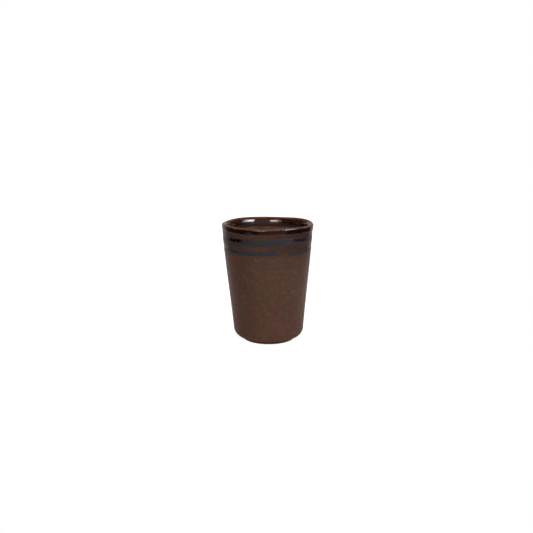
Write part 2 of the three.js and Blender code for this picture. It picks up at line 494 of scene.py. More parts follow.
# %% Coat the lip
LIP_GLAZE = 0.55 * MM
LIP_OVERLAP = 0.4 * MM
LIP_INSIDE_REACH = 1.6 * MM
SKIRT_STEPS = 4
LIP_INSIDE_STEPS = 5
lip_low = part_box("lip_glaze")[0].z
skirt_low = lip_glaze_line - LIP_OVERLAP
lip_inside_low = lip_low - LIP_INSIDE_REACH
lip_line = chained(
    wall_stretch(outer_wall, skirt_low, lip_edge_low, SKIRT_STEPS),
    lip_edge,
    lip_roll,
    wall_stretch(inner_wall, lip_roll_low, lip_inside_low, LIP_INSIDE_STEPS),
)
lip_glaze = turned("lip_glaze_gloss", lifted(lip_line, LIP_GLAZE))
with_modifier(lip_glaze, "SOLIDIFY", thickness=COAT, offset=-1)
smoothed(lip_glaze, levels=2)
print("Lip glaze:", len(lip_glaze.data.polygons), "faces")

# %% [markdown]
# ## How thick the lip's glaze lies, and where it is painted dark
# The two dips overlap at the left and the right, where the coat is thick and nearly black. There the black
# is also painted dark reflection, of the dark room at the sides. It pulls thin over the crest, where it
# breaks to amber, and along its lower edges it melts into the glaze below. These could be painted with a
# vertex brush. Measured by formula on the true shape, and kept as attributes for the finish, they follow
# the lip if its sizes change.

# %% Measure the lip's glaze
CREST_REACH_OUTSIDE = 1.3 * MM
CREST_REACH_INSIDE = 1.5 * MM
LIP_MELT = 0.7 * MM
LIP_MELT_INSIDE = (2.8 * MM, 4.2 * MM)
LIP_INSIDE_DARK_START = (2.3 * MM, 3.1 * MM)
LIP_INSIDE_DARK_END = (4.3 * MM, 4.9 * MM)
LIP_INSIDE_THICKNESS = 0.35
DIP_SEAM = math.radians(8)
SEAM_RAG = 0.3
SEAM_RAG_SIZE = 5 * MM
SEAM_FRAY = 0.25
SEAM_FRAY_SIZE = 1.8 * MM
OVERLAP_OUTSIDE = (-0.95, -0.6)
OVERLAP_INSIDE = (-0.8, -0.2)


def kept(piece, name, measure):
    """Keeps measure(angle, radius, height) of every vertex as an attribute of the mesh."""
    attribute = piece.data.attributes.new(name, "FLOAT", "POINT")
    for vertex, entry in zip(piece.data.vertices, attribute.data):
        radius = math.hypot(vertex.co.x, vertex.co.y)
        entry.value = measure(azimuth(vertex.co), radius, vertex.co.z)


def lip_thinness(angle, radius, height):
    """1 on the lip's crest, where the glaze pulls thin, and 0 away from it."""
    reach = CREST_REACH_OUTSIDE if radius > crest else CREST_REACH_INSIDE
    return max(0.0, 1 - (cup_height - height) / reach)


def lip_thickness_and_dark_reflection(angle, radius, height):
    """1 at the left and the right, where the dips overlap and dark reflection is painted, and 0 at the front
    and the back.
    """
    rag = SEAM_RAG * uneven(angle, height, SEAM_RAG_SIZE, seed=61)
    fray = SEAM_FRAY * uneven(angle, height, SEAM_FRAY_SIZE, seed=62)
    overlap = rag + fray - math.cos(2 * (angle - DIP_SEAM))
    if radius > crest:
        return eased(overlap, *OVERLAP_OUTSIDE)
    depth = cup_height - height
    # Inside, a dark band below the roll at the sides: thicker glaze, and painted dark reflection
    inside_dark = eased(depth, *LIP_INSIDE_DARK_START) * (1 - eased(depth, *LIP_INSIDE_DARK_END))
    return max(LIP_INSIDE_THICKNESS, inside_dark * eased(overlap, *OVERLAP_INSIDE))


def lip_fade(angle, radius, height):
    """1 along the coat's two lower edges, where it melts into the glaze below, and 0 on the lip."""
    if radius > crest:
        return 1 - eased(height, skirt_low, lip_glaze_line + LIP_MELT)
    return eased(cup_height - height, *LIP_MELT_INSIDE)


lip_measures = {"thin": lip_thinness, "thick_and_dark_reflection": lip_thickness_and_dark_reflection, "fade": lip_fade}
for name, measure in lip_measures.items():
    kept(lip_glaze, name, measure)
    print("Lip attribute:", name, "on", len(lip_glaze.data.attributes[name].data), "vertices")

# %% [markdown]
# ## The lip's runs and bulges
# The coat bulges where the dips overlap, more so on the right, and its lower edge wavers where it ran. Its
# two edges thin out, onto the satin glaze outside and under the liner inside, so that no step shows. A
# sculpting brush could draw all this, but a formula gives the same lip on each run.

# %% Move the lip by hand
LIP_BULGE = 0.24 * MM
LIP_BULGE_TO_RIGHT = 0.12 * MM
LIP_RUN = 0.3 * MM
LIP_RUN_WIDTH = 6 * MM
LIP_DRIP = 0.15 * MM
LIP_DRIP_WIDTH = 2.5 * MM
SKIRT_THINNING = 0.09 * MM
LIP_INSIDE_THINNING = 0.13 * MM


def on_lip(angle, radius, height):
    """Where a vertex of the lip coat goes: bulges and a wavering, thinning skirt outside, thinning inside."""
    if radius < crest:
        inside = 1 - eased(height, lip_inside_low, lip_roll_low)
        return thrown(angle, radius + inside * LIP_INSIDE_THINNING, height)
    skirt = 1 - eased(height, lip_glaze_line, lip_edge_low)
    run = LIP_RUN * uneven(angle, 0, LIP_RUN_WIDTH, seed=21)
    drip = LIP_DRIP * uneven(angle, 0, LIP_DRIP_WIDTH, seed=22)
    bulge = math.sin(angle) ** 2 * (LIP_BULGE + LIP_BULGE_TO_RIGHT * math.sin(angle))
    out = bulge + skirt * (throwing_lines(angle, height) - SKIRT_THINNING)
    return thrown(angle, radius + out, height + skirt * (run + drip))


moved_by_hand(lip_glaze, on_lip)
print("Lip coat, widest in mm:", round(lip_glaze.dimensions.x / MM, 2))

# %% [markdown]
# ## The liner
# Glaze was poured in, swirled and poured out, so the inside is one glossy skin over the spiral that the
# fingers left. The line runs down the wall, round the fillet and to the middle of the floor. It is drawn
# where the glaze shows, and Solidify thickens it back towards the clay. The skin's normals point to the clay
# here, so the offset has the other sign.

# %% Line the inside
LINER_LIFT = 0.47 * MM
LINER_COAT = 0.42 * MM
LINER_TUCK = 0.3 * MM
LINER_STEPS = 16
INSIDE_LINE = 4.6 * MM
INSIDE_DEPTH = 0.13 * MM
INSIDE_UNEVENNESS = 0.7
INSIDE_PATCH = 12 * MM
INSIDE_FADE_START = lip_low - 9 * MM
INSIDE_FADE_END = lip_low - 1 * MM


def on_inside(angle, radius, height):
    """Where a vertex of the liner goes: shallow spiral ridges that fade out at the lip and on the floor."""
    fade = (1 - eased(height, INSIDE_FADE_START, INSIDE_FADE_END)) * min(1.0, radius / floor_edge)
    ridge = math.sin(2 * math.pi * height / INSIDE_LINE - angle)
    ridge += INSIDE_UNEVENNESS * uneven(angle, height, INSIDE_PATCH, seed=31)
    return thrown(angle, radius + INSIDE_DEPTH * fade * ridge, height)


lined_stretch = wall_stretch(inner_wall, lip_low + LINER_TUCK, fillet_top[1], LINER_STEPS)
liner_glaze = turned("liner_glaze_gloss", lifted(chained(lined_stretch, fillet, floor), LINER_LIFT))
with_modifier(liner_glaze, "SOLIDIFY", thickness=LINER_COAT, offset=1)
smoothed(liner_glaze, levels=2)
moved_by_hand(liner_glaze, on_inside)
print("Liner:", len(liner_glaze.data.polygons), "faces")

# %% [markdown]
# ## The shape of a slip band
# The wheel turned while a loaded brush touched the wall. A mask on the glaze could give a band its colour,
# but the slip stands a little proud and has a soft edge that catches the light. So a band is a thin lens,
# whose crowned face lies on the wall and whose back lies inside the glaze.

# %% Helpers for a band's section
BAND_CROWN = 0.14 * MM
BAND_EDGE_SINK = 0.03 * MM
BAND_SINK = 0.12 * MM
BAND_STEPS = 10
BRUSH_SAG = 1.6 * MM


def front_heights(node):
    """The lower and upper edge of a band at the front, where it doesn't sag."""
    low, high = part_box(node)
    return low.z + BRUSH_SAG, high.z


def band_line(low, high):
    """A lens on the wall between two heights: its crowned face going up, then its back, inside the glaze."""
    shares = [-math.cos(math.pi * i / BAND_STEPS) for i in range(BAND_STEPS + 1)]
    heights = [low + (high - low) * (share + 1) / 2 for share in shares]
    proud = [BAND_CROWN * (1 - share**2) - BAND_EDGE_SINK for share in shares]
    face = [(glazed_wall(height) + lift, height) for height, lift in zip(heights, proud)]
    back = [(glazed_wall(height) - BAND_SINK, height) for height in heights[1:-1]]
    return [*face, *reversed(back), face[0]]


upper_low, upper_high = front_heights("upper_slip_band")
lower_low, lower_high = front_heights("lower_slip_band")
print("Bands in mm:", [round(height / MM, 2) for height in (lower_low, lower_high, upper_low, upper_high)])

# %% [markdown]
# ## The brush's path
# A hand that holds a brush to a turning cup isn't steady. The stroke sags towards the sides and tilts a
# little, its middle and its width waver, and its edges are nicked. The lens is spun true and then moved along
# that path, so that it stays on the leaning wall and on the throwing lines.

# %% Helpers for the brush's path
BRUSH_TILT = 0.3 * MM
BRUSH_WAVER = 0.16 * MM
BRUSH_WAVE = 9 * MM
BRUSH_NICK = 0.096 * MM
BRUSH_NICK_SIZE = 3 * MM
BRUSH_SPREAD = 1.15
BRUSH_SPREAD_WAVER = 0.14
BRUSH_SPREAD_WAVE = 14 * MM


def across(low, high, height):
    """How far a height lies from a band's middle: -1 at its lower edge and 1 at its upper edge."""
    return (2 * height - low - high) / (high - low)


def hand_drop(angle):
    """How far the brush's path lies below a level one: it sags at both sides and tilts."""
    side = math.sin(angle)
    return BRUSH_SAG * side**2 - BRUSH_TILT * side


def brushed(low, high, seed, ends=None):
    """How a vertex of a band moves: a wavering centre and width, and shaped ends if the stroke is open."""

    def move(angle, radius, height):
        share = across(low, high, height)
        waver = BRUSH_WAVER * uneven(angle, 0, BRUSH_WAVE, seed)
        nick = BRUSH_NICK * uneven(angle, share * MM, BRUSH_NICK_SIZE, seed + 1)
        width = BRUSH_SPREAD + BRUSH_SPREAD_WAVER * uneven(angle, 0, BRUSH_SPREAD_WAVE, seed + 2)
        to = (low + high) / 2 + waver + nick - hand_drop(angle) + share * width * (high - low) / 2
        turned_to = ends(angle, share) if ends else angle
        radius += glazed_wall(to) - glazed_wall(height) + throwing_lines(angle, to)
        return thrown(turned_to, radius, to)

    return move


side_drops = [round(hand_drop(math.radians(turn)) / MM, 2) for turn in (-90, 90)]
print("Drop of the brush's path in mm, left and right:", side_drops)

# %% [markdown]
# ## How thickly the slip covers
# The brush was fullest a little left of the front and drier towards the sides, so the brown shows through
# there and along a band's edges. Where it was pressed, slip pooled in ragged, nearly black marks along the
# upper half of the band; left and right of the front these marks are also painted dark reflection. Vertex
# paint could hold both, but formulas give the same on each run. The finish reads them as attributes.

# %% Helpers for the slip's cover
FULL_AT = math.radians(-8)
FULL_REACH = math.radians(50)
DRY_COVER = 0.5
COVER_UNEVENNESS = 0.2
COVER_PATCH = 15 * MM
COVER_EDGE = 0.8
POOL_RAG_SIZE = 2.6 * MM
POOL_FRAY = 0.6
POOL_FRAY_SIZE = 1.1 * MM
POOL_RAG_HEIGHT = 0.3
POOL_RAG_TURN = 3
POOL_LOW = (-0.1, 0.14)
POOL_HIGH = (0.65, 0.95)
POOL_END = (-7, 2)
# Dark marks, each as (azimuth and reach in degrees, strength): pooled slip, and left and right of the front
# also painted dark reflection
UPPER_DARK_MARKS = [(-45, 14, 1.0), (46, 14, 0.8), (-150, 14, 0.8), (135, 18, 0.6)]
LOWER_DARK_MARKS = [(-48, 10, 0.45), (52, 8, 0.3), (170, 12, 0.5)]


def fullness(angle):
    """How full the brush was at an angle."""
    near = eased(math.cos(angle - FULL_AT), math.cos(FULL_REACH), 1)
    patches = COVER_UNEVENNESS * uneven(angle, 0, COVER_PATCH, seed=71)
    return DRY_COVER + (1 - DRY_COVER) * near + patches


def covers(low, high):
    """A measure of how thickly the slip covers, from 0 at a band's edges to 1 on its crown."""

    def measure(angle, radius, height):
        return eased(1 - abs(across(low, high, height)), 0, COVER_EDGE) * fullness(angle)

    return measure


def dark_marks_measure(low, high, mark_places):
    """A measure of the dark marks along a band's upper half: pooled slip, and painted dark reflection."""

    def measure(angle, radius, height):
        fray = POOL_FRAY * uneven(angle, height, POOL_FRAY_SIZE, seed=82)
        ragged = uneven(angle, 0, POOL_RAG_SIZE, seed=81) + fray
        share = across(low, high, height) + POOL_RAG_HEIGHT * ragged
        upper = eased(share, *POOL_LOW) * (1 - eased(share, *POOL_HIGH))
        turn = math.degrees(angle) + POOL_RAG_TURN * ragged
        marks = [
            strength * (1 - eased(abs(turn - middle) - reach, *POOL_END))
            for middle, reach, strength in mark_places
        ]
        return upper * max(marks)

    return measure


print("Pressed marks:", len(UPPER_DARK_MARKS), "above and", len(LOWER_DARK_MARKS), "below")

# %% [markdown]
# ## The upper band
# The wide band is one closed stroke, so its lens is spun all the way round. Its cover and its marks are
# measured before the hand's unevenness moves it.

# %% Brush the upper band
upper_band = turned("upper_slip_band_brushed", band_line(upper_low, upper_high))
smoothed(upper_band, levels=2)
kept(upper_band, "cover", covers(upper_low, upper_high))
kept(upper_band, "dark_mark", dark_marks_measure(upper_low, upper_high, UPPER_DARK_MARKS))
moved_by_hand(upper_band, brushed(upper_low, upper_high, seed=40))
print("Upper band:", len(upper_band.data.polygons), "faces")

# %% [markdown]
# ## The lower stroke
# The narrow stroke ran dry before it met its start, right of the front. Its start is round and wet, and its
# end trails off on a slant and lets the brown through. Both are formulas of the angle from the gap, so the
# gap can be moved or widened in one place.

# %% Helpers for the stroke's two ends
STROKE_GAP = math.radians(10.2)
GAP_AZIMUTH = math.radians(21.6)
STROKE_SLANT = math.radians(2.5)
SLANT_REACH = math.radians(16)
START_ROUNDING = math.radians(1.6)
DRY_END = 0.5
DRY_REACH = math.radians(5)
FRESH_START = 0.4
FRESH_REACH = math.radians(36)
FRESH_DROP = 0.5 * MM


def from_gap_middle(angle):
    """Angle from the middle of the gap, from -pi to pi: the stroke ends before it and starts after it."""
    return (angle - GAP_AZIMUTH + math.pi) % (2 * math.pi) - math.pi


def stroke_cover(angle, radius, height):
    """How thickly the lower stroke covers: as a band does, but fuller at its start and dry at its end."""
    from_gap = from_gap_middle(angle)
    dry = 1 - eased(-from_gap - STROKE_GAP / 2, 0, DRY_REACH) if from_gap < 0 else 0
    fresh = 1 - eased(from_gap, 0, FRESH_REACH) if from_gap > 0 else 0
    laid = covers(lower_low, lower_high)(angle, radius, height + FRESH_DROP * fresh)
    return laid - DRY_END * dry + FRESH_START * fresh


def stroke_ends(angle, share):
    """The angle that a vertex moves to near the gap: the stroke's end is slanted and its start is round."""
    from_gap = from_gap_middle(angle)
    near = 1 - eased(abs(from_gap), STROKE_GAP / 2, STROKE_GAP / 2 + SLANT_REACH)
    if from_gap < 0:
        return angle - near * STROKE_SLANT * share
    return angle + near * START_ROUNDING * share**2


print("Gap of the stroke in mm:", round(STROKE_GAP * glazed_wall(lower_low) / MM, 2))

# %% [markdown]
# ## Brushing the lower stroke
# A full ring could be cut open, but Spin can also stop early. The lens is spun part of the way, turned to
# where the gap is, and closed with a face at each end, where its only open edges are.

# %% Brush the lower stroke
stroke_line = band_line(lower_low, lower_high)
lower_band = turned("lower_slip_band_brushed", stroke_line, angle=2 * math.pi - STROKE_GAP)
bpy.context.view_layer.objects.active = lower_band
bpy.ops.object.mode_set(mode="EDIT")
bpy.ops.mesh.select_all(action="SELECT")
stroke_turn = GAP_AZIMUTH - STROKE_GAP / 2 - math.pi / 2
bpy.ops.transform.rotate(value=-stroke_turn, orient_axis="Z", center_override=(0, 0, 0))
bpy.ops.mesh.select_all(action="DESELECT")
bpy.ops.mesh.select_non_manifold()
bpy.ops.mesh.edge_face_add()
bpy.ops.object.mode_set(mode="OBJECT")
smoothed(lower_band, levels=2)
kept(lower_band, "cover", stroke_cover)
kept(lower_band, "dark_mark", dark_marks_measure(lower_low, lower_high, LOWER_DARK_MARKS))
moved_by_hand(lower_band, brushed(lower_low, lower_high, seed=50, ends=stroke_ends))
print("Lower band:", len(lower_band.data.polygons), "faces")

# %% [markdown]
# ## The wash round the bands
# A wet brush leaves a film of thin slip beside its stroke, which greys the satin glaze from the lower stroke
# up to the lip, most at the sides and not in the gap. It is far too thin to be a shape, so it is only an
# attribute of the outer glaze.

# %% Keep where the wash lies
WASH_FRONT = 0.15
WASH_SIDES = 0.4
WASH_TURN = (0.2, 0.9)


def wash_left(angle, radius, height):
    """How much of the wash is left on the glaze."""
    stroke_width = lower_high - lower_low
    in_gap = 1 - eased(abs(from_gap_middle(angle)), STROKE_GAP / 2, STROKE_GAP)
    start = lower_low + in_gap * stroke_width
    upwards = eased(height + hand_drop(angle), start, start + stroke_width / 2)
    sideways = eased(abs(math.sin(angle)), *WASH_TURN)
    return upwards * (WASH_FRONT + (WASH_SIDES - WASH_FRONT) * sideways)


kept(outer_glaze, "wash", wash_left)
print("Wash from", WASH_FRONT, "at the front to", WASH_SIDES, "at the sides")

# %% [markdown]
# ## Finishes
# A picture could be wrapped round the cup, but patterns made of nodes stay sharp from close by and have no
# light baked in. One function turns a hex colour to the linear numbers that shaders take, one turns a real
# size in millimetres to a texture scale, and one adds a node with its settings and links. Patterns are placed
# by Object coordinates, so they stay on the cup from every side.

# %% Helpers for finishes
# A Mix node's inputs when it mixes colours, and settings that many nodes share
SHARE, UNDER, OVER = 0, 6, 7
COLOURS = {"data_type": "RGBA"}
SMOOTH = {"interpolation_type": "SMOOTHSTEP"}


def linear(colour):
    """An sRGB hex colour as linear RGBA, by the sRGB curve."""
    parts = [int(colour[i : i + 2], 16) / 255 for i in (1, 3, 5)]
    return (*[p / 12.92 if p <= 0.04045 else ((p + 0.055) / 1.055) ** 2.4 for p in parts], 1.0)


def per(size_mm):
    """The texture scale that gives a pattern of this size, in millimetres, on Object coordinates."""
    return 1 / (size_mm * MM)


def add(tree, kind, inputs=None, **settings):
    """Adds a node, sets it, and fills its inputs with values, sockets or other nodes' first outputs."""
    made = tree.nodes.new("ShaderNode" + kind)
    for name, value in settings.items():
        setattr(made, name, value)
    for name, value in (inputs or {}).items():
        if isinstance(value, bpy.types.Node):
            value = next(output for output in value.outputs if output.enabled)
        if isinstance(value, bpy.types.NodeSocket):
            tree.links.new(value, made.inputs[name])
        else:
            made.inputs[name].default_value = value
    return made


def new_finish(name):
    """An empty material, as (material, its node tree, Object coordinates)."""
    material = bpy.data.materials.new(name)
    material.use_nodes = True
    tree = material.node_tree
    tree.nodes.clear()
    return material, tree, add(tree, "TexCoord").outputs["Object"]


print("The hex colour #808080 is", round(linear("#808080")[0], 3), "in linear light")

# %% [markdown]
# ## Spots in a glaze
# Crystals, pits, rust flecks and grains of grog are all small round spots, scattered without order. Noise
# gives clouds that run together. A Voronoi texture gives cells, each with a middle and a random colour, and
# that colour draws whether the cell holds a spot, and how large.

# %% Helper for spots
SMALLEST_SPOT = 0.4
SPOT_CORE = 0.4


def spots(tree, place, spacing_mm, spot_mm, share):
    """A mask of round spots of up to the given size, in a share of the cells of a scattered grid."""
    cells = add(tree, "TexVoronoi", {"Vector": place, "Scale": per(spacing_mm)})
    draw = add(tree, "SeparateColor", {"Color": cells.outputs["Color"]})
    largest = spot_mm / spacing_mm / 2
    sizes = {"Value": draw.outputs["Green"], "To Min": SMALLEST_SPOT * largest, "To Max": largest}
    reach = add(tree, "MapRange", sizes, **SMOOTH)
    near = add(tree, "Math", {0: cells.outputs["Distance"], 1: reach}, operation="DIVIDE")
    spot = add(tree, "MapRange", {"Value": near, "From Min": 1.0, "From Max": SPOT_CORE}, **SMOOTH)
    chosen = add(tree, "Math", {0: draw.outputs["Red"], 1: share}, operation="LESS_THAN")
    return add(tree, "Math", {0: spot, 1: chosen}, operation="MULTIPLY")


print("Spots are from", SMALLEST_SPOT, "of their largest size up to all of it")

# %% [markdown]
# ## Satin iron glaze: its colour
# An iron glaze that was let cool slowly goes satin: fine crystals break up the gloss. Its brown drifts from
# red to olive where it lay thicker, tan crystals fleck it, and bubbles that broke late leave dark pits. Near
# the foot it is painted lighter and redder, which is painted light on the turned-under base. Towards the lip
# it is painted darker, more to the right and not at the left, which is painted shade. The wash of slip greys
# it in streaks. One noise for all of this would look like marble, so each is a layer of its own, mixed over
# the one before.

# %% Mottle the satin glaze
FOOT_PAINTED_LIGHT = (6.5 * MM, 3 * MM)
PAINTED_SHADE_HEIGHTS = (46 * MM, 71 * MM)
PAINTED_SHADE_ACROSS = (-20 * MM, 25 * MM)
SMEAR_LENGTH = 7
SMEAR_WIDTH = 0.9
satin, tree, place = new_finish("satin_iron_glaze")
clouds = add(tree, "TexNoise", {"Vector": place, "Scale": per(14), "Detail": 3.0, "Roughness": 0.55})
drift = add(tree, "MapRange", {"Value": clouds, "From Min": 0.36, "From Max": 0.66}, **SMOOTH)
ground = add(tree, "Mix", {SHARE: drift, UNDER: linear("#4d3526"), OVER: linear("#513227")}, **COLOURS)
mottle = add(tree, "TexNoise", {"Vector": place, "Scale": per(2.6), "Detail": 4.0, "Roughness": 0.68})
thicker = {"Value": mottle, "From Min": 0.45, "From Max": 0.72, "To Max": 0.8}
olive = add(tree, "MapRange", thicker, **SMOOTH)
ground = add(tree, "Mix", {SHARE: olive, UNDER: ground, OVER: linear("#5b4230")}, **COLOURS)

# Real crystals and pits are a few tenths of a millimetre wide, so these are drawn coarser to show
crystals = spots(tree, place, spacing_mm=1.0, spot_mm=0.75, share=0.6)
flecked = add(tree, "MapRange", {"Value": crystals, "To Max": 0.36}, **SMOOTH)
ground = add(tree, "Mix", {SHARE: flecked, UNDER: ground, OVER: linear("#7e6452")}, **COLOURS)
pits = spots(tree, place, spacing_mm=2.2, spot_mm=0.7, share=0.4)
pitted = add(tree, "MapRange", {"Value": pits, "To Max": 0.9}, **SMOOTH)
ground = add(tree, "Mix", {SHARE: pitted, UNDER: ground, OVER: linear("#24140f")}, **COLOURS)

axes = add(tree, "SeparateXYZ", {"Vector": place})
# Painted light: near the foot the glaze is painted lighter and redder
painted_light_at_foot = {"Value": axes.outputs["Z"], "From Min": FOOT_PAINTED_LIGHT[0], "From Max": FOOT_PAINTED_LIGHT[1], "To Max": 0.6}
broken = add(tree, "MapRange", painted_light_at_foot, **SMOOTH)
ground = add(tree, "Mix", {SHARE: broken, UNDER: ground, OVER: linear("#7a4b3a")}, **COLOURS)
# Painted shade: the glaze is darker towards the lip, more to the right and not at the left
painted_shade_rightwards = {"Value": axes.outputs["X"], "From Min": PAINTED_SHADE_ACROSS[0], "From Max": PAINTED_SHADE_ACROSS[1]}
darkest_painted_shade = add(tree, "MapRange", {**painted_shade_rightwards, "To Min": 1.0, "To Max": 0.55}, **SMOOTH)
upwards = {"Value": axes.outputs["Z"], "From Min": PAINTED_SHADE_HEIGHTS[0], "From Max": PAINTED_SHADE_HEIGHTS[1]}
depth = add(tree, "MapRange", {**upwards, "To Min": 1.0, "To Max": darkest_painted_shade}, **SMOOTH)
with_painted_shade = add(tree, "HueSaturation", {"Color": ground, "Value": depth})

smear_scale = (per(SMEAR_LENGTH), per(SMEAR_LENGTH), per(SMEAR_WIDTH))
smears = add(tree, "Mapping", {"Vector": place, "Scale": smear_scale})
streaks = add(tree, "TexNoise", {"Vector": smears, "Scale": 1.0, "Detail": 3.0})
wiped = {"Value": streaks, "From Min": 0.35, "From Max": 0.65, "To Min": 0.5, "To Max": 1.5}
film = add(tree, "MapRange", wiped, **SMOOTH)
wash = add(tree, "Attribute", attribute_name="wash").outputs["Fac"]
smeared = add(tree, "Math", {0: wash, 1: film}, operation="MULTIPLY")
satin_colour = add(tree, "Mix", {SHARE: smeared, UNDER: with_painted_shade, OVER: linear("#2f2e33")}, **COLOURS)
print("Satin glaze's colour:", len(tree.nodes), "nodes")

# %% [markdown]
# ## Satin iron glaze: its surface
# The crystals scatter what a glaze would mirror, so the wall glows softly along its edges and never shows a
# window. Roughness near 0.4 gives that, with a fine grain. Near the lip, where it took up gloss glaze, it is
# smoother. Pits and grain are also a slight relief, which breaks up the highlights.

# %% Give the satin glaze its sheen
GLOSSIER = (56 * MM, 61 * MM)
# The grain is finer on the real glaze, and drawn coarser to show
grain = add(tree, "TexNoise", {"Vector": place, "Scale": per(0.7), "Detail": 3.0, "Roughness": 0.6})
scattering = {"Value": grain, "From Min": 0.3, "From Max": 0.7, "To Min": 0.36, "To Max": 0.5}
sheen = add(tree, "MapRange", scattering, **SMOOTH)
towards_lip = {"Value": axes.outputs["Z"], "From Min": GLOSSIER[0], "From Max": GLOSSIER[1]}
satin_sheen = add(tree, "MapRange", {**towards_lip, "To Min": sheen, "To Max": 0.24}, **SMOOTH)
relief = add(tree, "Math", {0: grain, 1: pits}, operation="SUBTRACT")
skin = add(tree, "Bump", {"Height": relief, "Strength": 0.6, "Distance": 0.06 * MM})
satin_look = {"Base Color": satin_colour, "Roughness": satin_sheen, "Normal": skin}
satin_shader = add(tree, "BsdfPrincipled", {**satin_look, "Specular IOR Level": 0.25})
add(tree, "OutputMaterial", {"Surface": satin_shader})
print("Satin glaze:", len(tree.nodes), "nodes")

# %% [markdown]
# ## Gloss lip glaze
# The lip's glaze is a fluid gloss, nearly black where it is thick, and at the left and the right that black
# is also painted dark reflection. It thins over the crest until the iron in it shows as amber, and on the
# very edge it breaks to the freckled brown of the clay and is less glossy.
# Along its lower edges it melts into the satin glaze. A gradient by height would ring the lip evenly, so the
# measures of the lip steer it instead. It mirrors the windows, softly rippled.

# %% Dark gloss with an amber break
gloss_lip, tree, place = new_finish("dark_gloss_lip_glaze")
thin = add(tree, "Attribute", attribute_name="thin").outputs["Fac"]
thick_and_dark_reflection = add(tree, "Attribute", attribute_name="thick_and_dark_reflection").outputs["Fac"]
fade = add(tree, "Attribute", attribute_name="fade").outputs["Fac"]
runs = add(tree, "TexNoise", {"Vector": place, "Scale": per(2.6), "Detail": 3.0})
streaky = add(tree, "MapRange", {"Value": runs, "From Min": 0.4, "From Max": 0.62}, **SMOOTH)
deep = add(tree, "Mix", {SHARE: streaky, UNDER: linear("#0c0402"), OVER: linear("#240d05")}, **COLOURS)
# The thick coat is black, and at the left and the right that black is also painted dark reflection
body = add(tree, "Mix", {SHARE: thick_and_dark_reflection, UNDER: linear("#2e1b11"), OVER: deep}, **COLOURS)
worn = add(tree, "Math", {0: runs, 1: thin}, operation="ADD")
ambering = add(tree, "MapRange", {"Value": worn, "From Min": 0.75, "From Max": 1.0}, **SMOOTH)
amber = add(tree, "Mix", {SHARE: ambering, UNDER: body, OVER: linear("#5c3214")}, **COLOURS)
freckles = add(tree, "TexNoise", {"Vector": place, "Scale": per(1.1), "Detail": 4.0, "Roughness": 0.7})
freckled = add(tree, "MapRange", {"Value": freckles, "From Min": 0.38, "From Max": 0.62}, **SMOOTH)
edge = add(tree, "Mix", {SHARE: freckled, UNDER: linear("#523223"), OVER: linear("#634437")}, **COLOURS)
breaking = add(tree, "MapRange", {"Value": worn, "From Min": 0.95, "From Max": 1.25}, **SMOOTH)
amber = add(tree, "Mix", {SHARE: breaking, UNDER: amber, OVER: edge}, **COLOURS)
thinning = add(tree, "Math", {0: runs, 1: fade}, operation="ADD")
melting = add(tree, "MapRange", {"Value": thinning, "From Min": 0.7, "From Max": 1.3}, **SMOOTH)
held = add(tree, "MapRange", {"Value": thick_and_dark_reflection, "From Max": 0.8, "To Min": 1.0, "To Max": 0.0}, **SMOOTH)
melted = add(tree, "Math", {0: melting, 1: held}, operation="MULTIPLY")
lip_colour = add(tree, "Mix", {SHARE: melted, UNDER: amber, OVER: linear("#3d2926")}, **COLOURS)
gloss = add(tree, "MapRange", {"Value": melted, "To Min": 0.12, "To Max": 0.2}, **SMOOTH)
lip_sheen = add(tree, "MapRange", {"Value": breaking, "To Min": gloss, "To Max": 0.38}, **SMOOTH)
ripple = add(tree, "TexNoise", {"Vector": place, "Scale": per(2.4), "Detail": 3.0})
skin = add(tree, "Bump", {"Height": ripple, "Strength": 0.5, "Distance": 0.2 * MM})
lip_look = {"Base Color": lip_colour, "Roughness": lip_sheen, "Normal": skin}
add(tree, "OutputMaterial", {"Surface": add(tree, "BsdfPrincipled", lip_look)})
print("Lip glaze:", len(tree.nodes), "nodes")

# %% [markdown]
# ## Brown gloss liner
# The liner is a food-safe gloss, poured thin and even, so it is smooth and mirrors the rim and the windows.
# Its brown swirls from the pouring and holds a few rust flecks. It could share the lip's finish, but it is
# paler and has no break to show, so a few nodes are enough.

# %% Brown gloss liner
gloss_liner, tree, place = new_finish("brown_gloss_liner_glaze")
swirl = add(tree, "TexNoise", {"Vector": place, "Scale": per(7), "Detail": 3.0})
swirled = add(tree, "MapRange", {"Value": swirl, "From Min": 0.35, "From Max": 0.65}, **SMOOTH)
brown = add(tree, "Mix", {SHARE: swirled, UNDER: linear("#402e28"), OVER: linear("#5a423a")}, **COLOURS)
flecks = spots(tree, place, spacing_mm=1.8, spot_mm=0.6, share=0.4)
rusty = add(tree, "MapRange", {"Value": flecks, "To Max": 0.5}, **SMOOTH)
liner_colour = add(tree, "Mix", {SHARE: rusty, UNDER: brown, OVER: linear("#6e4a30")}, **COLOURS)
poured = {"Value": swirl, "From Min": 0.3, "From Max": 0.7, "To Min": 0.06, "To Max": 0.15}
liner_sheen = add(tree, "MapRange", poured, **SMOOTH)
skin = add(tree, "Bump", {"Height": swirl, "Strength": 0.2, "Distance": 0.2 * MM})
liner_look = {"Base Color": liner_colour, "Roughness": liner_sheen, "Normal": skin}
add(tree, "OutputMaterial", {"Surface": add(tree, "BsdfPrincipled", liner_look)})
print("Liner glaze:", len(tree.nodes), "nodes")

# %% [markdown]
# ## Slate slip
# Slip is clay thinned to cream and stained nearly black. A plain grey would look like paint. Under its thin
# gloss the slip takes its slate from what it mirrors, with a greener tinge in places. The brush's hairs leave
# streaks along the stroke, blotches break it up where the cover is thin and the brown shows through, and the
# pressed pools are wet and black. Left and right of the front that black is also painted dark reflection.

# %% Slate slip
HAIR_LENGTH = 9
